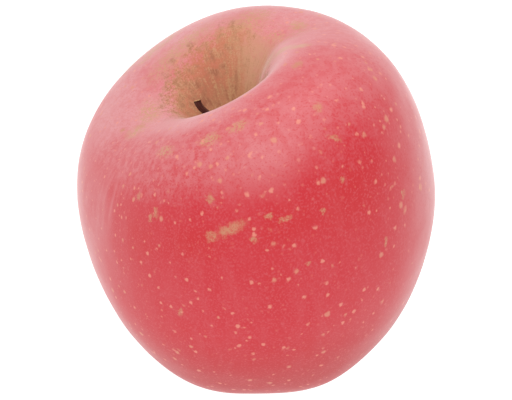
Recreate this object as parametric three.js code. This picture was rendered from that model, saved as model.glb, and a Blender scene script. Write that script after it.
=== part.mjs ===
// A red eating apple, whole and as picked: the fruit, its stem and the dried calyx in its base.
// Millimetres, +Z up. The origin is on the surface that the apple stands on, under the middle of its box.
import * as THREE from 'three';
import { mergeVertices } from 'three/addons/utils/BufferGeometryUtils.js';

// Outline of the fruit, as radius and height of one half section before it leans
const BELLY = { radius: 43, height: 47.1, riseAbove: 20.9, dropBelow: 22.2 };
const SHOULDER = { radius: 19.5, height: 75.6, reachIn: 9, reachOut: 15.1 };
const CAVITY = { floorHeight: 58.5, reach: 3.2 };
const SOCKET = { radius: 1.9, depth: 4 };
const BASE_RING = { radius: 17.7, reachIn: 6, reachOut: 13 };
const BASIN = { floorHeight: 9, reach: 3 };

// How the real fruit departs from a turned one; directions are in degrees from +X towards +Y
const OVAL = { share: 0.056, direction: 133 };
const THREE_SIDED = { share: 0.03, direction: 6 };
const FLANK = { shift: 1.2, shiftDirection: 41, widen: 0.8, widenDirection: 139, from: 15, fadeIn: 30 };
const CROWN = {
  tilt: 2.9, tiltDirection: -13, saddle: 1.9, saddleDirection: -78, trefoil: 0.5, trefoilDirection: 103,
};
const MOUTH = { shift: 2.5, shiftDirection: 7, widen: 1.2, widenDirection: 128, from: 25 };
const BULGE = { depth: 4.2, direction: 5, halfAngle: 34 };
const GROOVE = { depth: 1.2, direction: 34, halfAngle: 23, start: 6, end: 36, fadeIn: 8, fadeOut: 12 };
const LEAN = { angle: 22.9, shift: 9.2, direction: 174.5, power: 1.33 };
const BASE_LOBES = { count: 5, rise: 1, direction: 90, reach: 20 };
const FOOT_FLAT = 0.5;

// The stem stands in the socket and bends to one side; radii go from root to cut end
const STEM = { length: 14.6, bend: 7.1, direction: 182, radii: [1.5, 1.1, 0.95, 0.9, 0.95, 1.1] };
const SEPALS = { count: 5, tip: 6.2, notch: 2.3, drop: 4.2, thickness: 0.7, cup: 1.2, lean: 0.6, taper: 1.5 };
const GAP = 0.3;

// Faces round each piece, and steps along the arcs of its outline
const FRUIT_FACES = { round: 75, cavity: 13, shoulder: 13, side: 15, basin: 8 };
const STEM_FACES = { round: 12, side: 11 };
const CALYX_FACES = { round: 50, side: 7 };
const SAME_PLACE = 1e-4;

const SKIN = { color: '#c8324a', roughness: 0.4, metalness: 0 };
const BARK = { color: '#4e2a26', roughness: 0.75, metalness: 0 };
const DRY_LEAF = { color: '#7a6248', roughness: 0.75, metalness: 0 };

const radians = THREE.MathUtils.degToRad;

function ease(value) {
  return THREE.MathUtils.smoothstep(value, 0, 1);
}

// 1 in the given direction, falling away smoothly to both sides
function sector(turn, direction, halfAngle) {
  const away = THREE.MathUtils.euclideanModulo(turn - radians(direction) + Math.PI, 2 * Math.PI) - Math.PI;
  return Math.exp(-((away / radians(halfAngle)) ** 2));
}

function wave(turn, direction, count) {
  return Math.cos(count * (turn - radians(direction)));
}

// Moves a point of the turned form to its place on the real, lopsided one
function grow(point) {
  const radius = Math.hypot(point.x, point.y);
  const turn = Math.atan2(point.y, point.x);
  const upper = ease((point.z - MOUTH.from) / (SHOULDER.height - MOUTH.from));
  const mouth = ease(radius / SHOULDER.radius) * upper;

  const oval = OVAL.share * wave(turn, OVAL.direction, 2);
  const threeSided = THREE_SIDED.share * wave(turn, THREE_SIDED.direction, 3);
  const outside = ease((radius - SHOULDER.radius) / (BELLY.radius - SHOULDER.radius));
  const flank = outside * ease((point.z - FLANK.from) / FLANK.fadeIn);
  const swell = FLANK.shift * wave(turn, FLANK.shiftDirection, 1)
    + FLANK.widen * wave(turn, FLANK.widenDirection, 2);
  const widen = MOUTH.shift * wave(turn, MOUTH.shiftDirection, 1)
    + MOUTH.widen * wave(turn, MOUTH.widenDirection, 2)
    - BULGE.depth * sector(turn, BULGE.direction, BULGE.halfAngle);
  const round = radius * (1 + (radius / BELLY.radius) * (oval + threeSided));
  const reach = round + flank * swell + mouth * widen;

  const along = ease((radius - GROOVE.start) / GROOVE.fadeIn) * ease((GROOVE.end - radius) / GROOVE.fadeOut);
  const groove = GROOVE.depth * sector(turn, GROOVE.direction, GROOVE.halfAngle) * along * upper;
  const nearBase = ease(radius / BASE_RING.radius) * ease((BASE_LOBES.reach - point.z) / BASE_LOBES.reach);
  const hollow = BASE_LOBES.rise * nearBase * (1 - wave(turn, BASE_LOBES.direction, BASE_LOBES.count)) / 2;
  const crown = CROWN.tilt * wave(turn, CROWN.tiltDirection, 1)
    + CROWN.saddle * wave(turn, CROWN.saddleDirection, 2)
    + CROWN.trefoil * wave(turn, CROWN.trefoilDirection, 3);
  const height = point.z + mouth * crown - groove + hollow - FOOT_FLAT;

  const share = Math.max(height, 0) / SHOULDER.height;
  const angle = radians(LEAN.angle) * share ** LEAN.power;
  const leanTurn = turn - radians(LEAN.direction);
  const forward = reach * Math.cos(leanTurn);
  const sideways = reach * Math.sin(leanTurn);
  const leaned = forward * Math.cos(angle) + LEAN.shift * share ** (LEAN.power + 1);
  point.set(leaned, sideways, Math.max(height - forward * Math.sin(angle), 0));
  return point.applyAxisAngle(new THREE.Vector3(0, 0, 1), radians(LEAN.direction));
}

function arc(start, startHandle, endHandle, end, steps) {
  const places = [start, startHandle, endHandle, end];
  const corners = places.map(([radius, height]) => new THREE.Vector2(radius, height));
  return new THREE.CubicBezierCurve(...corners).getPoints(steps);
}

// Turns an outline into a closed body round +Z, with every seam closed
function turned(outline, sides) {
  const body = new THREE.LatheGeometry(outline, sides).rotateX(Math.PI / 2);
  body.deleteAttribute('normal');
  body.deleteAttribute('uv');
  const merged = mergeVertices(body, SAME_PLACE);
  const faces = [];
  const index = merged.index.array;
  for (let i = 0; i < index.length; i += 3) {
    const [a, b, c] = [index[i], index[i + 1], index[i + 2]];
    if (a !== b && b !== c && c !== a) faces.push(a, b, c);
  }
  merged.setIndex(faces);
  return merged;
}

function moveVertices(body, move) {
  const places = body.attributes.position;
  const point = new THREE.Vector3();
  for (let i = 0; i < places.count; i += 1) {
    move(point.fromBufferAttribute(places, i));
    places.setXYZ(i, point.x, point.y, point.z);
  }
  return body;
}

function fruitOutline() {
  const crest = [SHOULDER.radius, SHOULDER.height];
  const side = [BELLY.radius, BELLY.height];
  const foot = [BASE_RING.radius, 0];
  const floor = CAVITY.floorHeight;
  const basin = BASIN.floorHeight;
  const upperSide = [BELLY.radius, BELLY.height + BELLY.riseAbove];
  const lowerSide = [BELLY.radius, BELLY.height - BELLY.dropBelow];
  const socketFloor = floor - SOCKET.depth;
  const edge = [SOCKET.radius, floor];
  const innerCrest = [crest[0] - SHOULDER.reachIn, crest[1]];
  const outerCrest = [crest[0] + SHOULDER.reachOut, crest[1]];
  const outerFoot = [foot[0] + BASE_RING.reachOut, 0];
  const innerFoot = [foot[0] - BASE_RING.reachIn, 0];
  const outline = [
    new THREE.Vector2(0, socketFloor),
    new THREE.Vector2(SOCKET.radius, socketFloor),
    ...arc(edge, [edge[0] + CAVITY.reach, floor], innerCrest, crest, FRUIT_FACES.cavity),
    ...arc(crest, outerCrest, upperSide, side, FRUIT_FACES.shoulder).slice(1),
    ...arc(side, lowerSide, outerFoot, foot, FRUIT_FACES.side).slice(1),
    ...arc(foot, innerFoot, [BASIN.reach, basin], [0, basin], FRUIT_FACES.basin).slice(1),
  ];
  return outline.reverse();
}

function fruit() {
  return moveVertices(turned(fruitOutline(), FRUIT_FACES.round), grow);
}

// A slender stem, swollen at its root and at its slanting cut end
function stem() {
  const root = CAVITY.floorHeight - SOCKET.depth + GAP;
  const step = STEM.length / (STEM.radii.length - 1);
  const sides = STEM.radii.map((radius, i) => new THREE.Vector2(radius, CAVITY.floorHeight + i * step));
  const smoothSides = new THREE.SplineCurve(sides).getPoints(STEM_FACES.side);
  const top = CAVITY.floorHeight + STEM.length;
  const outline = [
    new THREE.Vector2(0, root),
    new THREE.Vector2(STEM.radii[0], root),
    ...smoothSides,
    new THREE.Vector2(0, top),
  ];
  const direction = radians(STEM.direction);
  return moveVertices(turned(outline, STEM_FACES.round), (point) => {
    const share = Math.max(point.z - CAVITY.floorHeight, 0) / STEM.length;
    const bend = STEM.bend * ease(share);
    point.x += bend * Math.cos(direction);
    point.y += bend * Math.sin(direction);
    return grow(point);
  });
}

// Five dried sepals that grow from one small cup, pointing down and out into the basin
function calyx() {
  const { tip, notch, drop, thickness, cup, lean } = SEPALS;
  const point = [tip, -drop];
  const back = arc([0, 0], [cup, 0], [tip * lean, -drop * lean], point, CALYX_FACES.side);
  const inner = [tip * lean, -drop * lean - thickness];
  const face = arc(point, inner, [cup, -thickness], [0, -thickness], CALYX_FACES.side);
  const seat = BASIN.floorHeight - FOOT_FLAT - GAP;
  return moveVertices(turned([...back, ...face.slice(1)].reverse(), CALYX_FACES.round), (place) => {
    const radius = Math.hypot(place.x, place.y);
    const turn = Math.atan2(place.y, place.x);
    const toTip = Math.abs(Math.cos(SEPALS.count * turn / 2)) ** SEPALS.taper;
    const length = notch / tip + (1 - notch / tip) * toTip;
    const share = 1 + (length - 1) * ease(radius / notch);
    return place.set(place.x * share, place.y * share, seat + place.z * share);
  });
}

function piece(name, geometry, finish) {
  geometry.computeVertexNormals();
  const mesh = new THREE.Mesh(geometry, new THREE.MeshStandardMaterial(finish));
  mesh.name = name;
  return mesh;
}

function buildApple() {
  const apple = new THREE.Group();
  apple.add(piece('fruit', fruit(), SKIN));
  apple.add(piece('stem', stem(), BARK));
  apple.add(piece('calyx', calyx(), DRY_LEAF));
  const middle = new THREE.Box3().setFromObject(apple).getCenter(new THREE.Vector3());
  apple.position.set(-middle.x, -middle.y, 0);
  return apple;
}

export default buildApple();
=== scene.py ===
"""A red eating apple with a russeted stem cavity, a short cut stem and a dried calyx, on a pale floor."""
import math
from types import SimpleNamespace

import bmesh
import bpy
from bpy.props import FloatProperty, FloatVectorProperty, IntProperty, PointerProperty
from mathutils import Color, Matrix, Vector, geometry, noise


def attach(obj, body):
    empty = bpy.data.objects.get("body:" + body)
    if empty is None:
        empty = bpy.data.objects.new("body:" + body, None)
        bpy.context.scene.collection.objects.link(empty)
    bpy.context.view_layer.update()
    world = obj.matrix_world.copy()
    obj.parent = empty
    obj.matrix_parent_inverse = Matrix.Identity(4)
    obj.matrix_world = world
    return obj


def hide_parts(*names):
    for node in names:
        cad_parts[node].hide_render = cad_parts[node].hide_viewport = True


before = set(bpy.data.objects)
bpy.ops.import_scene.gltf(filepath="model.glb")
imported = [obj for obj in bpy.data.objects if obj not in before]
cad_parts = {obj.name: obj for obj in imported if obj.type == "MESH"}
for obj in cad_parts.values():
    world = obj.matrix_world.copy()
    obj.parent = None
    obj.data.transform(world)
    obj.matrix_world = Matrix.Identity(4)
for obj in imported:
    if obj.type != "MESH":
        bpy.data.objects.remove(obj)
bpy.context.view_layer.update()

bl_info = {
    "name": "Red Apple",
    "version": (1, 0, 0),
    "blender": (4, 5, 0),
    "location": "3D View > Sidebar > Apple",
    "description": "Models and paints a lopsided red apple on a pale floor",
    "category": "Object",
}

MM = 0.001
UP = Vector((0, 0, 1))
FULL_TURN = 2 * math.pi

# Outline of the fruit in millimetres, as radius and height of one half section before it leans
BELLY = SimpleNamespace(radius=43, height=47.1, rise_above=20.9, drop_below=22.2)
SHOULDER = SimpleNamespace(radius=19.5, height=75.6, reach_in=9, reach_out=15.1)
CAVITY = SimpleNamespace(floor=58.5, reach=3.2)
SOCKET = SimpleNamespace(radius=1.45, depth=3)
BASE_RING = SimpleNamespace(radius=17.7, reach_in=6, reach_out=13)
BASIN = SimpleNamespace(floor=9, reach=3)

# How the real fruit departs from a turned one; directions are in degrees from +X towards +Y
OVAL = SimpleNamespace(share=0.056, direction=133)
THREE_SIDED = SimpleNamespace(share=0.03, direction=6)
FLANK = SimpleNamespace(shift=1.2, shift_direction=41, widen=0.8, widen_direction=139, start=15, fade_in=30)
CROWN = SimpleNamespace(tilt=2.9, tilt_direction=-13, saddle=1.9, saddle_direction=-78,
                        trefoil=0.5, trefoil_direction=103)
MOUTH = SimpleNamespace(shift=2.5, shift_direction=7, widen=1.2, widen_direction=128, start=25)
BULGE = SimpleNamespace(depth=4.2, direction=5, half_angle=34)
GROOVE = SimpleNamespace(depth=1.2, direction=34, half_angle=23, start=6, end=36, fade_in=8, fade_out=12)
LEAN = SimpleNamespace(angle=22.9, shift=9.2, direction=174.5, power=1.33)
BASE_LOBES = SimpleNamespace(count=5, rise=1, direction=90, reach=20)
FOOT_FLAT = 0.5

STEM = SimpleNamespace(length=14.6, bend=7.1, direction=182, radii=(1.5, 1.1, 0.95, 0.9, 0.95, 1.1),
                       fibres=0.16, knobs=0.10, slant_across=0.4, slant_ahead=0.45)
SEPALS = SimpleNamespace(count=5, tip=6.2, notch=2.3, drop=4.2, thickness=0.7, cup=1.2, lean=0.6,
                         taper=1.5, crinkle=0.22, curl=0.25)
GAP = 0.3

# Depth and width of the fine relief on the fruit
RELIEF = SimpleNamespace(dents=0.22, dent_width=17, pits=0.05, pit_width=5, furrows=0.10, puckers=0.35)

# Steps along the arcs of the outlines, and faces round the stem and the calyx
FINE = SimpleNamespace(cavity=60, shoulder=70, side=80, basin=40, knot=12, sepal=40, round_stem=40,
                       round_calyx=300)
SAME_PLACE = 1e-4

# Larger marks on the fruit's side, each by its turn in degrees, its height, half its width and
# half its length in millimetres, and its slant in degrees, clockwise from level
SIDE_MARKS = (
    (-90, 59.4, 3.7, 1.2, -10), (-97, 58.5, 1.5, 1.2, 0), (-119, 64, 0.9, 1.2, 0), (-122, 62.6, 0.6, 1.2, 20),
    (-78, 60, 1.0, 0.7, 10), (-73.5, 58.2, 1.3, 0.4, 0), (-51, 67, 1.5, 0.5, 40), (-54, 60, 0.7, 0.6, 0),
    (-44.5, 44, 0.5, 1.1, 15), (-35, 50.5, 0.5, 0.9, -10), (-62.5, 56.7, 0.5, 0.5, 0),
    (-84, 56, 0.7, 0.5, 30), (-113, 38, 0.7, 1.2, 15), (-70, 47.5, 0.7, 0.6, 0), (-130, 67, 0.7, 0.9, 0),
    (-95, 66, 0.9, 1.1, 0),
)
# Marks and netted patches on the shoulder: turn, distance from the axis, half width and half length
TOP_MARKS = (
    (-34, 23, 1.6, 1.1), (-49, 34, 1.0, 1.0), (-176, 24, 1.2, 0.9), (178, 29, 1.0, 0.8), (33, 25, 1.4, 1.0),
)
TOP_PATCHES = (
    (-92, 28.5, 2.6, 1.7), (-78, 28, 2.2, 1.4), (-120, 29, 3.0, 1.7), (68, 21, 4.5, 5.5),
    (38, 19.5, 2.6, 2.0), (34, 25.6, 3.2, 2.0), (118, 21, 9.0, 3.5), (172, 21, 5.0, 3.0),
    (-172, 26, 3.0, 3.0), (120, 30, 6.0, 2.4), (127, 35.5, 5.0, 2.4), (66, 24.5, 4.0, 3.0),
)
# Netted band along the furrow and over the end of the mouth
BAND_PATCHES = (
    (44, 13, 6.5, 5.0), (50, 10, 3.0, 3.0), (28, 13, 3.6, 2.6), (8, 14.5, 3.2, 2.2), (-5, 18, 1.9, 3.2),
    (-10, 22, 1.4, 2.6),
)
# Thick bloom and painted reflection of the overhead light on the shoulders, by turn, distance from the axis,
# half width and half length
BLOOM_AND_SHEEN_PATCHES = (
    (178, 21, 14, 12), (-105, 18, 12, 6), (-62, 16, 7, 4), (-16, 16, 8, 6), (105, 27, 26, 12),
    (52, 29, 22, 12), (155, 30, 18, 10),
)
# Deepest red, by turn, height, half width and half length
DEEP_PATCHES = ((-53, 57, 13, 9), (-73, 57, 11, 5), (-104, 57, 10, 6), (-128, 56, 8, 7))

# Single places on the side, given as the deepest red is
# A painted highlight: soft reflection of the studio light on the near shoulder
PAINTED_HIGHLIGHT_SIDE = (-78, 69, 11, 6)
STREAKED_SIDE = (-158, 62, 16, 14)
SPECKLED_SIDE = (-28, 62, 14, 12)
# Single places in the cavity and on the shoulder, given as the patches of bloom and painted reflection are
BARE_SHOULDER = (-42, 31, 16, 12)
RUSSET_SPILL = (78, 17, 5, 7)
PALE_WALL = (38, 12, 4.5, 7)
SHADED_WALL = (122, 9, 6, 4)
WARM_WALL = (105, 13, 7, 5)
SPECKED_WALL = (152, 14, 8, 4)
CRACKED_SHOULDER = (72, 20, 14, 8)
CRACKED_FURROW = (24, 18, 4.5, 11)

# The three kinds of dots, each by their spacing and their largest size
SPECKLE = (1.7, 0.5)
SMALL_DOTS = (2.6, 0.75)
LARGE_DOTS = (4.4, 1.0)

CAMERA_HEIGHT_ANGLE = 34.5
CAMERA_DISTANCE = 750
CAMERA_LENS = 223.4
AIM = Vector((-0.1, 0, 41.3))
SENSOR_WIDTH = 36

OVERHEAD_LIGHT = SimpleNamespace(place=Vector((0, 100, 700)), size=420, power=1.7)
FRONT_LIGHT = SimpleNamespace(place=Vector((-60, -420, 520)), size=300, power=1.0)
ROOM_LIGHT = 0.765
FLOOR = SimpleNamespace(half_width=3, grey=(0.15, 0.15, 0.15), glow=1.1, dark_within=0.008, bright_from=0.019)


def srgb(red, green, blue):
    """Turns a colour of 0 to 255 steps into the linear one that a shader works with."""
    return tuple(Color((red / 255, green / 255, blue / 255)).from_srgb_to_scene_linear())


def colour_property(name, description, red, green, blue):
    """A colour that a user may change, given in steps of 0 to 255."""
    return FloatVectorProperty(name=name, description=description, subtype="COLOR", size=3, min=0, max=1,
                               default=srgb(red, green, blue))


class AppleForm(bpy.types.PropertyGroup):
    """Sizes of the apple that a user may change."""
    sides: IntProperty(name="Sides", description="Faces round the fruit", default=300, min=60, max=320)
    lean: FloatProperty(name="Lean", description="How far the stem end leans over",
                        default=math.radians(LEAN.angle), subtype="ANGLE")
    groove: FloatProperty(name="Groove", description="Depth of the furrow over the shoulder",
                          default=GROOVE.depth * MM, subtype="DISTANCE", unit="LENGTH")
    dents: FloatProperty(name="Dents", description="Depth of the broad uneven places in the skin",
                         default=RELIEF.dents * MM, subtype="DISTANCE", unit="LENGTH", precision=5)
    stem_length: FloatProperty(name="Stem length", description="From the cavity's floor to the cut end",
                               default=STEM.length * MM, subtype="DISTANCE", unit="LENGTH")


class AppleColours(bpy.types.PropertyGroup):
    """Colours of the skin and the stem."""
    blush: colour_property("Blush", "Main red of the skin", 194, 38, 50)
    deep: colour_property("Deep red", "Where the red is strongest", 192, 20, 28)
    # Painted shade: a deeper red towards the base stands in for the shade where the fruit meets the floor
    base: colour_property("Base", "Deeper red towards the calyx", 170, 4, 10)
    # Partly real bloom, partly painted reflection of the overhead light on the upper fruit
    haze_and_top_sheen: colour_property("Haze", "Thin bloom over the red of the shoulders", 198, 82, 88)
    # Partly real bloom, partly painted highlight and reflection of the studio light
    bloom_and_sheen: colour_property("Bloom", "Thick pale bloom round the mouth", 210, 142, 144)
    russet: colour_property("Russet", "Corky brown of the stem cavity", 176, 122, 88)
    rust: colour_property("Rust", "Reddish places in the russet", 186, 110, 80)
    umber: colour_property("Umber", "Darkest places in the russet", 146, 88, 60)
    ground: colour_property("Ground colour", "Pale tan of the basin and of light russet", 190, 154, 108)
    lenticel: colour_property("Lenticels", "Pale dots of the skin", 222, 142, 122)
    cork: colour_property("Cork", "Larger marks and fine cracks", 192, 126, 96)
    bark: colour_property("Stem", "Dark bark of the stem", 78, 40, 38)


def ease(value):
    """Goes smoothly from 0 to 1."""
    value = min(max(value, 0.0), 1.0)
    return value * value * (3 - 2 * value)


def sector(turn, direction, half_angle):
    """Is 1 in the given direction and falls away smoothly to both sides."""
    away = (turn - math.radians(direction) + math.pi) % FULL_TURN - math.pi
    return math.exp(-(away / math.radians(half_angle)) ** 2)


def wave(turn, direction, count):
    """Is 1 in the given direction and in count places round the axis."""
    return math.cos(count * (turn - math.radians(direction)))


def grow(point, form):
    """Moves a point of the turned form to its place on the real, lopsided one, in millimetres."""
    radius = math.hypot(point.x, point.y)
    turn = math.atan2(point.y, point.x)
    upper = ease((point.z - MOUTH.start) / (SHOULDER.height - MOUTH.start))
    mouth = ease(radius / SHOULDER.radius) * upper
    oval = OVAL.share * wave(turn, OVAL.direction, 2)
    three_sided = THREE_SIDED.share * wave(turn, THREE_SIDED.direction, 3)
    outside = ease((radius - SHOULDER.radius) / (BELLY.radius - SHOULDER.radius))
    flank = outside * ease((point.z - FLANK.start) / FLANK.fade_in)
    swell = FLANK.shift * wave(turn, FLANK.shift_direction, 1)
    swell += FLANK.widen * wave(turn, FLANK.widen_direction, 2)
    widen = MOUTH.shift * wave(turn, MOUTH.shift_direction, 1)
    widen += MOUTH.widen * wave(turn, MOUTH.widen_direction, 2)
    widen -= BULGE.depth * sector(turn, BULGE.direction, BULGE.half_angle)
    reach = radius * (1 + radius / BELLY.radius * (oval + three_sided)) + flank * swell + mouth * widen

    along = ease((radius - GROOVE.start) / GROOVE.fade_in) * ease((GROOVE.end - radius) / GROOVE.fade_out)
    groove = form.groove / MM * sector(turn, GROOVE.direction, GROOVE.half_angle) * along * upper
    near_base = ease(radius / BASE_RING.radius) * ease((BASE_LOBES.reach - point.z) / BASE_LOBES.reach)
    hollow = BASE_LOBES.rise * near_base * (1 - wave(turn, BASE_LOBES.direction, BASE_LOBES.count)) / 2
    crown = CROWN.tilt * wave(turn, CROWN.tilt_direction, 1)
    crown += CROWN.saddle * wave(turn, CROWN.saddle_direction, 2)
    crown += CROWN.trefoil * wave(turn, CROWN.trefoil_direction, 3)
    height = point.z + mouth * crown - groove + hollow - FOOT_FLAT

    share = max(height, 0) / SHOULDER.height
    angle = form.lean * share ** LEAN.power
    lean_turn = turn - math.radians(LEAN.direction)
    forward = reach * math.cos(lean_turn)
    sideways = reach * math.sin(lean_turn)
    leaned = forward * math.cos(angle) + LEAN.shift * share ** (LEAN.power + 1)
    place = Vector((leaned, sideways, max(height - forward * math.sin(angle), 0)))
    return Matrix.Rotation(math.radians(LEAN.direction), 3, "Z") @ place


def arc(start, start_handle, end_handle, end, steps):
    """Points along one smooth arc of an outline, as radius and height."""
    corners = [Vector((radius, height, 0)) for radius, height in (start, start_handle, end_handle, end)]
    return [(point.x, point.y) for point in geometry.interpolate_bezier(*corners, steps + 1)]


def fruit_outline():
    """Half section of the fruit, from the floor of the stem's socket to the middle of the basin."""
    crest = (SHOULDER.radius, SHOULDER.height)
    side = (BELLY.radius, BELLY.height)
    foot = (BASE_RING.radius, 0)
    edge = (SOCKET.radius, CAVITY.floor)
    bottom = (0, BASIN.floor)
    inner_edge = (edge[0] + CAVITY.reach, edge[1])
    inner_crest = (crest[0] - SHOULDER.reach_in, crest[1])
    outer_crest = (crest[0] + SHOULDER.reach_out, crest[1])
    upper_side = (BELLY.radius, BELLY.height + BELLY.rise_above)
    lower_side = (BELLY.radius, BELLY.height - BELLY.drop_below)
    outer_foot = (foot[0] + BASE_RING.reach_out, 0)
    inner_foot = (foot[0] - BASE_RING.reach_in, 0)
    cavity = arc(edge, inner_edge, inner_crest, crest, FINE.cavity)
    upper = arc(crest, outer_crest, upper_side, side, FINE.shoulder)
    lower = arc(side, lower_side, outer_foot, foot, FINE.side)
    basin = arc(foot, inner_foot, (BASIN.reach, BASIN.floor), bottom, FINE.basin)
    socket = [(0, CAVITY.floor - SOCKET.depth), (SOCKET.radius, CAVITY.floor - SOCKET.depth)]
    return socket + cavity + upper[1:] + lower[1:] + basin[1:]


def turned(outline, sides):
    """Spins an outline into a closed body round the upright axis, with seams and poles closed."""
    shell = bmesh.new()
    corners = [shell.verts.new((radius, 0, height)) for radius, height in outline]
    edges = [shell.edges.new(pair) for pair in zip(corners, corners[1:])]
    bmesh.ops.spin(shell, geom=corners + edges, cent=(0, 0, 0), axis=UP, dvec=(0, 0, 0),
                   angle=FULL_TURN, steps=sides, use_merge=True)
    bmesh.ops.remove_doubles(shell, verts=shell.verts, dist=SAME_PLACE)
    bmesh.ops.recalc_face_normals(shell, faces=shell.faces)
    return shell


def finished(name, shell, material, node, middle):
    """Makes a shaped body of millimetres into a smooth object that stands for a CAD node."""
    bmesh.ops.translate(shell, verts=shell.verts, vec=-middle)
    bmesh.ops.scale(shell, verts=shell.verts, vec=(MM, MM, MM))
    for face in shell.faces:
        face.smooth = True
    mesh = bpy.data.meshes.new(name)
    shell.to_mesh(mesh)
    shell.free()
    piece = bpy.data.objects.new(name, mesh)
    bpy.context.collection.objects.link(piece)
    mesh.materials.append(material)
    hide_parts(node)
    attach(piece, "root")
    return piece


def shape_fruit(form):
    """The fruit's surface, with its outline's own coordinates kept for the paint."""
    shell = turned(fruit_outline(), form.sides)
    kept = shell.verts.layers.float_vector.new("form")
    for corner in shell.verts:
        corner[kept] = corner.co.copy()
        radius = math.hypot(corner.co.x, corner.co.y)
        turn = math.atan2(corner.co.y, corner.co.x)
        place = grow(corner.co, form)
        in_cavity = ease((SHOULDER.radius - radius) / SHOULDER.radius)
        in_cavity *= ease((corner.co.z - CAVITY.floor) / 4)
        meridian = Vector((9 * math.cos(turn), 9 * math.sin(turn), radius * 0.1))
        furrows = RELIEF.furrows * in_cavity * noise.noise(meridian)
        in_basin = ease((BASE_RING.radius - radius) / BASE_RING.radius)
        in_basin *= ease((BASIN.floor + 2 - corner.co.z) / 4)
        puckers = RELIEF.puckers * in_basin * math.cos(10 * turn + 0.6 * math.sin(3 * turn))
        broad = form.dents / MM * noise.noise(place / RELIEF.dent_width)
        broad += RELIEF.pits * noise.noise(place / RELIEF.pit_width)
        off_floor = ease((place.z - 0.2) / 3)
        outward = Vector((place.x, place.y, place.z - BELLY.height)).normalized()
        corner.co = place + outward * broad * off_floor + UP * (furrows - puckers * off_floor)
    return shell


def middle_of(shell):
    """Point of the surface that the apple stands on, under the middle of its box."""
    lows = [min(corner.co[axis] for corner in shell.verts) for axis in (0, 1)]
    highs = [max(corner.co[axis] for corner in shell.verts) for axis in (0, 1)]
    return Vector(((lows[0] + highs[0]) / 2, (lows[1] + highs[1]) / 2, 0))


def shape_stem(form):
    """The stem: fibrous, swollen at its root and at its slanting, slightly hollow cut end."""
    length = form.stem_length / MM
    step = length / (len(STEM.radii) - 1)
    knots = [(radius, CAVITY.floor + i * step) for i, radius in enumerate(STEM.radii)]
    sides = []
    for i in range(len(knots) - 1):
        before = knots[max(i - 1, 0)]
        after = knots[min(i + 2, len(knots) - 1)]
        start, end = knots[i], knots[i + 1]
        first = (start[0] + (end[0] - before[0]) / 6, start[1] + step / 3)
        second = (end[0] - (after[0] - start[0]) / 6, end[1] - step / 3)
        sides += arc(start, first, second, end, FINE.knot)[:-1]
    top = CAVITY.floor + length
    root = CAVITY.floor - SOCKET.depth + GAP
    tip = STEM.radii[-1]
    rim = [(tip, top - 0.25), (tip * 0.93, top), (tip * 0.7, top + 0.02)]
    hollow = [(tip * 0.4, top - 0.15), (0, top - 0.25)]
    shell = turned([(0, root), (STEM.radii[0], root)] + sides + rim + hollow, FINE.round_stem)
    kept = shell.verts.layers.float_vector.new("form")
    direction = math.radians(STEM.direction)
    for corner in shell.verts:
        corner[kept] = corner.co.copy()
        turn = math.atan2(corner.co.y, corner.co.x)
        fibres = noise.noise(Vector((3 * math.cos(turn), 3 * math.sin(turn), corner.co.z / 5)))
        knobs = noise.noise(Vector((math.cos(turn), math.sin(turn), corner.co.z / 1.6)))
        above = ease((corner.co.z - CAVITY.floor) / 1.5)
        swell = 1 + above * (STEM.fibres * fibres + STEM.knobs * knobs)
        share = max(corner.co.z - CAVITY.floor, 0) / length
        slant = -(STEM.slant_across * corner.co.x + STEM.slant_ahead * corner.co.y) * share ** 6
        bend = STEM.bend * ease(share)
        point = Vector((corner.co.x * swell + bend * math.cos(direction),
                        corner.co.y * swell + bend * math.sin(direction), corner.co.z + slant))
        corner.co = grow(point, form)
    return shell


def shape_calyx():
    """Five dried, crinkled sepals that grow from one small cup, pointing down and out into the basin."""
    tip, drop, cup, lean, thick = SEPALS.tip, SEPALS.drop, SEPALS.cup, SEPALS.lean, SEPALS.thickness
    back = arc((0, 0), (cup, 0), (tip * lean, -drop * lean), (tip, -drop), FINE.sepal)
    face = arc((tip, -drop), (tip * lean, -drop * lean - thick), (cup, -thick), (0, -thick), FINE.sepal)
    seat = BASIN.floor - FOOT_FLAT - GAP
    shell = turned(back + face[1:], FINE.round_calyx)
    kept = shell.verts.layers.float_vector.new("form")
    for corner in shell.verts:
        radius = math.hypot(corner.co.x, corner.co.y)
        turn = math.atan2(corner.co.y, corner.co.x)
        to_tip = abs(math.cos(SEPALS.count * turn / 2)) ** SEPALS.taper
        length = SEPALS.notch / tip + (1 - SEPALS.notch / tip) * to_tip
        share = 1 + (length - 1) * ease(radius / SEPALS.notch)
        crinkle = SEPALS.crinkle * ease(radius / tip) * noise.noise(corner.co * 1.3)
        curl = SEPALS.curl * ease((radius - 3) / 3) * math.sin(SEPALS.count * turn)
        corner[kept] = Vector((corner.co.x * share, corner.co.y * share, corner.co.z * share))
        corner.co = corner[kept] + Vector((0, 0, seat + crinkle - abs(curl)))
    return shell


class Value:
    """One output of a material's nodes; calculating with it adds Math nodes."""

    def __init__(self, paint, socket):
        self.paint = paint
        self.socket = socket

    def math(self, operation, *others):
        """Adds one Math node."""
        return self.paint.node("ShaderNodeMath", {"operation": operation}, dict(enumerate((self, *others))))

    def __add__(self, other):
        return self.math("ADD", other)

    def __radd__(self, other):
        return self.math("ADD", other)

    def __sub__(self, other):
        return self.math("SUBTRACT", other)

    def __rsub__(self, other):
        return self.paint.node("ShaderNodeMath", {"operation": "SUBTRACT"}, {0: other, 1: self})

    def __mul__(self, other):
        return self.math("MULTIPLY", other)

    def __rmul__(self, other):
        return self.math("MULTIPLY", other)

    def __truediv__(self, other):
        return self.math("DIVIDE", other)

    def either(self, other):
        """The larger of two values."""
        return self.math("MAXIMUM", other)

    def step(self, low, high):
        """Goes smoothly from 0 at low to 1 at high; low may be the larger."""
        if low > high:
            return 1 - self.step(high, low)
        return self.paint.node("ShaderNodeMapRange", {"interpolation_type": "SMOOTHSTEP"},
                               {"Value": self, "From Min": low, "From Max": high})


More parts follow.
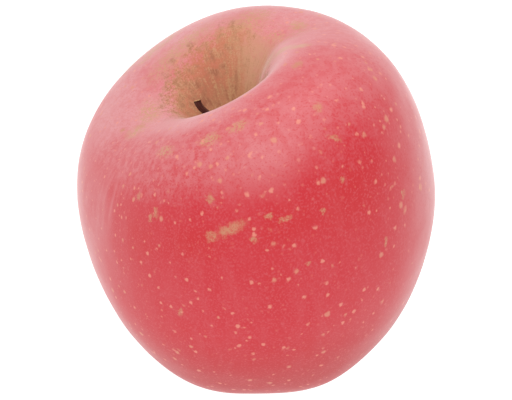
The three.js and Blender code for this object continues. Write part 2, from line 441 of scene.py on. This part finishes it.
class Paint:
    """A material that is put together from nodes."""
    # Places of the colour sockets on a Mix node
    FIRST, SECOND, MIXED = 6, 7, 2

    def __init__(self, name):
        self.material = bpy.data.materials.new(name)
        self.material.use_nodes = True
        self.tree = self.material.node_tree
        self.shader = self.tree.nodes["Principled BSDF"]

    def connect(self, socket, value):
        """Gives a socket a number, a colour, a vector or another node's output."""
        if isinstance(value, Value):
            self.tree.links.new(value.socket, socket)
        elif socket.type == "RGBA":
            socket.default_value = (*value[:3], 1)
        else:
            socket.default_value = value

    def node(self, kind, settings, sockets, output=0):
        """Adds one node: first its settings, then the values or links of its sockets."""
        node = self.tree.nodes.new(kind)
        for name, setting in settings.items():
            setattr(node, name, setting)
        for key, value in sockets.items():
            self.connect(node.inputs[key], value)
        return Value(self, node.outputs[output])

    def attribute(self, name):
        """A vector that the mesh keeps for each of its corners."""
        return self.node("ShaderNodeAttribute", {"attribute_name": name}, {}, "Vector")

    def parts(self, vector):
        """The three parts of a vector."""
        split = self.node("ShaderNodeSeparateXYZ", {}, {0: vector}).socket.node
        return [Value(self, output) for output in split.outputs]

    def vector(self, *parts):
        """Three values as one vector."""
        return self.node("ShaderNodeCombineXYZ", {}, dict(enumerate(parts)))

    def shift(self, vector, other):
        """Sum of two vectors."""
        return self.node("ShaderNodeVectorMath", {"operation": "ADD"}, {0: vector, 1: other})

    def stretch(self, vector, other):
        """Product of two vectors, part by part."""
        return self.node("ShaderNodeVectorMath", {"operation": "MULTIPLY"}, {0: vector, 1: other})

    def length(self, vector):
        """Length of a vector."""
        return self.node("ShaderNodeVectorMath", {"operation": "LENGTH"}, {0: vector}, "Value")

    def noise(self, vector, scale, detail=3, rough=0.55, twist=0):
        """Cloudy noise around 0.5."""
        return self.node("ShaderNodeTexNoise", {}, {"Vector": vector, "Scale": scale, "Detail": detail,
                                                    "Roughness": rough, "Distortion": twist})

    def blend(self, first, second, share):
        """Goes from the first colour to the second."""
        sockets = {"Factor": share, self.FIRST: first, self.SECOND: second}
        return self.node("ShaderNodeMix", {"data_type": "RGBA"}, sockets, self.MIXED)

    def finish(self, sockets):
        """Sets the shader's own sockets."""
        for key, value in sockets.items():
            self.connect(self.shader.inputs[key], value)
        return self.material


def side_spot(paint, place, turn, height, wide, tall, slant=0.0):
    """Distance from a spot on the fruit's side, as a share of the spot's half width and half length."""
    angle = math.radians(turn)
    middle = (BELLY.radius * math.cos(angle), BELLY.radius * math.sin(angle), height)
    return paint.length(paint.node("ShaderNodeMapping", {"vector_type": "TEXTURE"}, {
        "Vector": place, "Location": middle, "Rotation": (0, math.radians(slant), angle + math.pi / 2),
        "Scale": (wide, BELLY.radius / 2, tall)}))


def top_spot(paint, place, turn, reach, wide, long):
    """Distance from a spot on the fruit's shoulder, as a share of the spot's half width and half length."""
    angle = math.radians(turn)
    middle = (reach * math.cos(angle), reach * math.sin(angle), SHOULDER.height)
    return paint.length(paint.node("ShaderNodeMapping", {"vector_type": "TEXTURE"}, {
        "Vector": place, "Location": middle, "Rotation": (0, 0, angle + math.pi / 2),
        "Scale": (wide, long, BELLY.radius / 2)}))


def nearest(distances):
    """The smallest of several values."""
    least = distances[0]
    for distance in distances[1:]:
        least = least.math("MINIMUM", distance)
    return least


def dots(paint, place, spacing, size):
    """Round spots about a spacing apart, in millimetres; each has its own size, up to the one given."""
    near = paint.node("ShaderNodeTexVoronoi", {}, {"Vector": place, "Scale": 1 / spacing}, "Distance")
    chance = paint.parts(Value(paint, near.socket.node.outputs["Color"]))[0]
    return ((chance * 0.6 + 0.4) * size - near * spacing).step(0, size * 0.55)


def skin_places(paint):
    """Where a point lies on the turned form, in millimetres, and the noises that all layers share."""
    place = paint.attribute("form")
    across, ahead, height = paint.parts(place)
    radius = paint.length(paint.vector(across, ahead, 0.0)).either(0.01)
    east, north = across / radius, ahead / radius
    cloud = paint.node("ShaderNodeTexNoise", {}, {"Vector": place, "Scale": 1.1, "Detail": 3}, "Color")
    wander = paint.shift(cloud, (-0.5, -0.5, -0.5))
    ragged = paint.shift(place, paint.stretch(wander, (2.6, 2.6, 2.6)))
    rough = paint.shift(place, paint.stretch(wander, (0.9, 0.9, 0.9)))
    return SimpleNamespace(
        place=place, across=across, height=height, radius=radius, east=east, north=north,
        ragged=ragged, rough=rough, on_top=height.step(52, 60), mottle=paint.noise(place, 0.55, 4, 0.65),
        grain=paint.noise(place, 2.2, 2, 0.6), net=paint.noise(place, 1.1, 4, 0.75, 1.5))


def red_layer(paint, at, colours):
    """Red that deepens round the belly, under the pink bloom of the shoulders and faint streaks; the pale
    pink is partly painted reflection of the light, with painted highlights and a painted shade towards the
    base.
    """
    meridian = paint.vector(at.east * 22, at.north * 22, at.height * 0.14 + at.radius * 0.08)
    streaks = paint.noise(meridian, 0.4, 5, 0.65, 0.6)
    clouds = paint.noise(at.place, 0.07, 3, 0.55)
    deepest = nearest([side_spot(paint, at.place, *patch) for patch in DEEP_PATCHES])
    patches = (deepest + clouds - 0.5).step(1.3, 0.2)
    colour = paint.blend(colours.blush, colours.deep, patches * 0.6 + clouds.step(0.5, 0.75) * 0.25)

    # Bloom lies on the shoulders, thickest round the mouth, towards the left and over the far side; it is
    # partly painted reflection of the overhead light
    edge = at.height + (clouds - 0.5) * 12 + (at.mottle - 0.5) * 16 + (at.grain - 0.5) * 6 + at.across * 0.1
    haze_and_top_sheen = edge.step(62, 76)
    thick = nearest([top_spot(paint, at.place, *patch) for patch in BLOOM_AND_SHEEN_PATCHES])
    pale = (thick + (clouds - 0.5) * 0.8).step(1.15, 0.3) * at.on_top
    colour = paint.blend(colour, colours.haze_and_top_sheen, haze_and_top_sheen * 0.8)
    bare = top_spot(paint, at.place, *BARE_SHOULDER).step(1.3, 0.2)
    # Paler towards the top: partly dusty bloom, partly painted reflection of the overhead light
    dust_and_top_sheen = at.height.step(64, 73) * (1 - bare * 0.4) * (0.15 + at.mottle.step(0.38, 0.64) * 0.35)
    colour = paint.blend(colour, colours.bloom_and_sheen, dust_and_top_sheen)
    # Painted highlight along the crest round the mouth
    colour = paint.blend(colour, colours.bloom_and_sheen, at.radius.step(26, 18) * at.on_top * 0.45)
    # Pale patches: partly real bloom, partly painted reflection of the overhead light towards the shoulders'
    # edges
    colour = paint.blend(colour, colours.bloom_and_sheen, pale * (0.6 + at.mottle.step(0.35, 0.7) * 0.4))
    # Painted reflection of the bright surroundings down the left and right sides of the fruit
    painted_rim_sheen = at.east.step(0.76, 0.98) * 0.6 + at.east.step(-0.8, -1.0) * 0.5
    painted_rim_sheen = painted_rim_sheen * at.height.step(12, 34) * (0.25 + at.height.step(76, 54) * 0.75)
    colour = paint.blend(colour, colours.bloom_and_sheen, painted_rim_sheen * clouds.step(0.2, 0.6))
    # Painted highlight: soft reflection of the studio light on the near shoulder
    painted_highlight = (side_spot(paint, at.place, *PAINTED_HIGHLIGHT_SIDE) + (clouds - 0.5) * 2 + at.mottle - 0.5).step(1.4, 0.1)
    left = side_spot(paint, at.place, *STREAKED_SIDE).step(1.2, 0.2)
    colour = paint.blend(colour, colours.bloom_and_sheen, painted_highlight * 0.25)
    colour = paint.blend(colour, colours.bloom_and_sheen, streaks.step(0.42, 0.7) * (left * 0.3 + 0.06))
    colour = paint.blend(colour, colours.deep, streaks.step(0.5, 0.3) * 0.22 * (1 - pale))
    # Painted shade: the skin goes to a deeper red towards the base
    colour = paint.blend(colour, colours.base, at.height.step(34, 8) * 0.9)
    colour = paint.blend(colour, colours.deep, at.grain.step(0.5, 0.3) * 0.35 * (1 - pale))
    return paint.blend(colour, colours.haze_and_top_sheen, at.grain.step(0.5, 0.7) * 0.5 + at.mottle.step(0.52, 0.72) * 0.2)


def dot_layer(paint, at, colour, colours, clear):
    """Fine pink speckle, pale lenticels and larger corky marks with ragged edges."""
    dense = side_spot(paint, at.place, *SPECKLED_SIDE).step(1.3, 0.5)
    wax = at.height.step(58, 70)
    speckle = dots(paint, at.place, *SPECKLE) * (0.14 + dense * 0.4 + wax * 0.2)
    small = dots(paint, at.rough, *SMALL_DOTS)
    large = dots(paint, at.rough, *LARGE_DOTS)
    colour = paint.blend(colour, colours.lenticel, speckle * clear)
    colour = paint.blend(colour, colours.lenticel, small * clear * 0.7)
    colour = paint.blend(colour, paint.blend(colours.cork, colours.lenticel, 0.55), large * clear * 0.75)
    marks = [side_spot(paint, at.ragged, *mark) for mark in SIDE_MARKS]
    marks += [top_spot(paint, at.ragged, *mark) for mark in TOP_MARKS]
    corky = nearest(marks).step(1.4, 0.4) * (0.35 + at.net.step(0.4, 0.56) * 0.6)
    patches = nearest([top_spot(paint, at.ragged, *patch) for patch in TOP_PATCHES]).step(1.5, 0.3)
    netted = patches * at.net.step(0.44, 0.56) * 0.95
    colour = paint.blend(colour, colours.cork, corky)
    colour = paint.blend(colour, paint.blend(colours.cork, colours.ground, 0.5), netted)
    return colour, small.either(large).either(corky)


def russet_layer(paint, at, colour, colours):
    """Corky brown that fills the cavity and runs out over the far shoulder and the furrow in fine lines."""
    rays = paint.noise(paint.vector(at.east * 14, at.north * 14, at.radius * 0.3), 0.9, 4, 0.65)
    blots = paint.noise(at.place, 0.4, 5, 0.7)
    spill = top_spot(paint, at.place, *RUSSET_SPILL).step(1.4, 0.2)
    pale = top_spot(paint, at.place, *PALE_WALL).step(1.5, 0.4)
    shade = (top_spot(paint, at.place, *SHADED_WALL) + (blots - 0.5) * 2).step(1.4, 0.2)
    reach = at.radius - at.north * 3.2 + at.east * 1.5 - spill * 3.5 + pale * 3
    reach = reach + (rays - 0.5) * 8 + (at.net - 0.5) * 16 + (blots - 0.5) * 16
    russet = reach.step(17.5, 10.0) * at.on_top
    fine = paint.noise(at.place, 2.6, 3, 0.7)
    tone = paint.blend(colours.russet, colours.ground, at.net.step(0.3, 0.7) * 0.5 + pale * 0.5)
    warm = top_spot(paint, at.place, *WARM_WALL).step(1.3, 0.2)
    tone = paint.blend(tone, colours.rust, blots.step(0.42, 0.58) * 0.7 * at.radius.step(5, 10) + warm * 0.35)
    tone = paint.blend(tone, colours.umber, (rays * 0.4 + blots * 0.6).step(0.5, 0.38) * 0.5 + shade * 0.4)
    tone = paint.blend(tone, colours.ground, (rays * 0.5 + fine * 0.5).step(0.5, 0.62) * 0.5)
    tone = paint.blend(tone, colours.umber, fine.step(0.46, 0.28) * 0.35)
    dusted = at.radius.step(8, 14) * 0.6 + pale * 0.4
    tone = paint.blend(tone, colours.bloom_and_sheen, fine.step(0.5, 0.7) * 0.35 * dusted)
    colour = paint.blend(colour, tone, russet * 0.95)

    # Cracks in the skin: rings on the far shoulder, rays along the groove
    rings = paint.noise(paint.vector(at.east * 3, at.north * 3, at.radius * 0.9), 1.0, 4, 0.7, 0.8)
    ring_lines = (rings - 0.5).math("ABSOLUTE").step(0.05, 0.005) * at.net.step(0.35, 0.6)
    far = top_spot(paint, at.place, *CRACKED_SHOULDER).step(1.2, 0.4)
    ray_lines = (rays - 0.5).math("ABSOLUTE").step(0.05, 0.008)
    groove = top_spot(paint, at.place, *CRACKED_FURROW).step(1.2, 0.4)
    lines = (ring_lines * far).either(ray_lines * groove)
    band = nearest([top_spot(paint, at.rough, *patch) for patch in BAND_PATCHES]).step(1.4, 0.3)
    netting = at.net.step(0.38, 0.56).either(rays.step(0.44, 0.6))
    dry = paint.blend(paint.blend(colours.cork, colours.ground, 0.6), colours.bloom_and_sheen, 0.2)
    colour = paint.blend(colour, dry, band * (0.35 + netting * 0.55))
    specks = top_spot(paint, at.place, *SPECKED_WALL).step(1.4, 0.4) * at.net.step(0.5, 0.4)
    colour = paint.blend(colour, colours.umber, specks * 0.45)
    return paint.blend(colour, colours.cork, lines * 0.75), russet


def skin_paint(colours):
    """Waxy red skin with bloom, lenticels, streaks and russet, and with painted highlights, reflections and
    shade in its colour.
    """
    paint = Paint("apple_skin")
    at = skin_places(paint)
    colour = red_layer(paint, at, colours)
    meridian = paint.noise(paint.vector(at.east * 9, at.north * 9, at.radius * 0.15), 1.0, 3, 0.6)
    in_basin = (at.radius + (meridian - 0.5) * 14 + (at.mottle - 0.5) * 8).step(17, 5) * at.height.step(14, 6)
    colour = paint.blend(colour, colours.ground, in_basin * (0.5 + at.mottle.step(0.35, 0.65) * 0.3))
    clear = 1 - at.radius.step(15.5, 9) * at.on_top
    colour, marks = dot_layer(paint, at, colour, colours, clear)
    colour, russet = russet_layer(paint, at, colour, colours)
    relief = at.mottle * 0.25 + at.grain * 0.25 + marks * clear * 0.4 + russet * at.net * 1.2
    bump = paint.node("ShaderNodeBump", {}, {"Strength": 0.25, "Distance": 0.00012, "Height": relief})
    rough = 0.40 + at.mottle * 0.10 + russet * 0.30 + marks * 0.10 + at.height.step(20, 4) * 0.3
    return paint.finish({
        "Base Color": colour, "Roughness": rough, "Normal": bump, "IOR": 1.42, "Specular IOR Level": 0.5,
        "Sheen Weight": 0.45, "Sheen Roughness": 0.3, "Sheen Tint": (1.0, 0.92, 0.92),
    })


def stem_paint(colours):
    """Dark fibrous bark with a pale cut end."""
    paint = Paint("apple_stem")
    place = paint.attribute("form")
    across, ahead, height = paint.parts(place)
    fibres = paint.noise(paint.vector(across * 3, ahead * 3, height * 0.35), 1.0, 4, 0.65)
    colour = paint.blend(colours.bark, srgb(140, 92, 70), fibres.step(0.5, 0.75) * 0.7)
    top = CAVITY.floor + STEM.length
    cut = height.step(top - 0.22, top - 0.1)
    ring = paint.noise(place, 2.0, 3, 0.6)
    cut_wood = paint.blend(srgb(206, 170, 118), srgb(150, 104, 66), ring.step(0.45, 0.65))
    colour = paint.blend(colour, cut_wood, cut)
    relief = fibres + ring * 0.4
    bump = paint.node("ShaderNodeBump", {}, {"Strength": 0.5, "Distance": 0.0003, "Height": relief})
    return paint.finish({"Base Color": colour, "Roughness": 0.62, "Normal": bump,
                         "Specular IOR Level": 0.35})


def calyx_paint():
    """Dry, downy sepals, dark in the cup and lighter at their curled tips."""
    paint = Paint("apple_calyx")
    place = paint.attribute("form")
    across, ahead, _ = paint.parts(place)
    radius = paint.length(paint.vector(across, ahead, 0.0))
    down = paint.noise(place, 1.4, 4, 0.7)
    colour = paint.blend(srgb(96, 70, 46), srgb(158, 128, 90), down.step(0.35, 0.7))
    colour = paint.blend(colour, srgb(58, 38, 26), radius.step(2.2, 0.4) * 0.8)
    bump = paint.node("ShaderNodeBump", {}, {"Strength": 0.7, "Distance": 0.0003, "Height": down})
    return paint.finish({"Base Color": colour, "Roughness": 0.85, "Normal": bump, "Sheen Weight": 0.4,
                         "Sheen Roughness": 0.5, "Specular IOR Level": 0.25})


class APPLE_OT_fruit(bpy.types.Operator):
    """Model and paint the fruit."""
    bl_idname = "apple.fruit"
    bl_label = "Fruit"

    def execute(self, context):
        scene = context.scene
        shell = shape_fruit(scene.apple_form)
        middle = middle_of(shell)
        scene["apple_middle"] = tuple(middle)
        finished("apple_fruit", shell, skin_paint(scene.apple_colours), "fruit", middle)
        return {"FINISHED"}


class APPLE_OT_stem(bpy.types.Operator):
    """Model and paint the stem, standing in the cavity."""
    bl_idname = "apple.stem"
    bl_label = "Stem"

    def execute(self, context):
        scene = context.scene
        middle = Vector(scene["apple_middle"])
        shell = shape_stem(scene.apple_form)
        finished("apple_stem", shell, stem_paint(scene.apple_colours), "stem", middle)
        return {"FINISHED"}


class APPLE_OT_calyx(bpy.types.Operator):
    """Model and paint the dried calyx in the basin."""
    bl_idname = "apple.calyx"
    bl_label = "Calyx"

    def execute(self, context):
        middle = Vector(context.scene["apple_middle"])
        finished("apple_calyx", shape_calyx(), calyx_paint(), "calyx", middle)
        return {"FINISHED"}


def floor_paint():
    """White glowing floor, with little glow where the fruit stands."""
    paint = Paint("pale_floor")
    across, ahead, _ = paint.parts(paint.node("ShaderNodeTexCoord", {}, {}, "Object"))
    away = paint.length(paint.vector(across, ahead, 0.0))
    glow = paint.blend(FLOOR.grey, (1.0, 1.0, 1.0), away.step(FLOOR.dark_within, FLOOR.bright_from))
    return paint.finish({"Base Color": FLOOR.grey, "Roughness": 0.9, "Emission Color": glow,
                         "Emission Strength": FLOOR.glow})


def facing(name, data, place, aim):
    """Adds a light or a camera that looks at a point; places are in millimetres."""
    thing = bpy.data.objects.new(name, data)
    bpy.context.collection.objects.link(thing)
    thing.location = place * MM
    thing.rotation_mode = "QUATERNION"
    thing.rotation_quaternion = (place - aim).to_track_quat("Z", "Y")
    return thing


def soft_light(name, made, aim):
    """A square studio light."""
    light = bpy.data.lights.new(name, "AREA")
    light.size = made.size * MM
    light.energy = made.power
    return facing(name, light, made.place, aim)


class APPLE_OT_stage(bpy.types.Operator):
    """Set up the pale floor, the soft studio light and the camera."""
    bl_idname = "apple.stage"
    bl_label = "Stage"

    def execute(self, context):
        scene = context.scene
        middle = Vector(scene["apple_middle"])
        aim = AIM - middle
        angle = math.radians(CAMERA_HEIGHT_ANGLE)
        back = Vector((0, -math.cos(angle), math.sin(angle)))
        lens = bpy.data.cameras.new("camera")
        lens.sensor_width = SENSOR_WIDTH
        lens.lens = CAMERA_LENS
        scene.camera = facing("camera", lens, aim + back * CAMERA_DISTANCE, aim)

        shell = bmesh.new()
        bmesh.ops.create_grid(shell, x_segments=1, y_segments=1, size=FLOOR.half_width)
        mesh = bpy.data.meshes.new("floor")
        shell.to_mesh(mesh)
        shell.free()
        floor = bpy.data.objects.new("floor", mesh)
        context.collection.objects.link(floor)
        mesh.materials.append(floor_paint())

        world = bpy.data.worlds.new("studio")
        world.use_nodes = True
        room = world.node_tree.nodes["Background"]
        room.inputs["Color"].default_value = (1, 1, 1, 1)
        room.inputs["Strength"].default_value = ROOM_LIGHT
        scene.world = world
        heart = Vector((0, 0, BELLY.height))
        soft_light("overhead", OVERHEAD_LIGHT, heart)
        soft_light("front", FRONT_LIGHT, heart)
        scene.view_settings.view_transform = "Standard"
        return {"FINISHED"}


class APPLE_PT_panel(bpy.types.Panel):
    """Lists the pieces of the apple and the sizes and colours that may be changed."""
    bl_label = "Apple"
    bl_space_type = "VIEW_3D"
    bl_region_type = "UI"
    bl_category = "Apple"

    def draw(self, context):
        for group in (context.scene.apple_form, context.scene.apple_colours):
            for name in group.__annotations__:
                self.layout.prop(group, name)
        for operator in OPERATORS:
            self.layout.operator(operator.bl_idname)


OPERATORS = (APPLE_OT_fruit, APPLE_OT_stem, APPLE_OT_calyx, APPLE_OT_stage)
CLASSES = (AppleForm, AppleColours, *OPERATORS, APPLE_PT_panel)


def register():
    for kind in CLASSES:
        bpy.utils.register_class(kind)
    bpy.types.Scene.apple_form = PointerProperty(type=AppleForm)
    bpy.types.Scene.apple_colours = PointerProperty(type=AppleColours)


def unregister():
    del bpy.types.Scene.apple_colours
    del bpy.types.Scene.apple_form
    for kind in reversed(CLASSES):
        bpy.utils.unregister_class(kind)


def main():
    register()
    bpy.ops.apple.fruit()
    bpy.ops.apple.stem()
    bpy.ops.apple.calyx()
    bpy.ops.apple.stage()


if __name__ == "__main__":
    main()
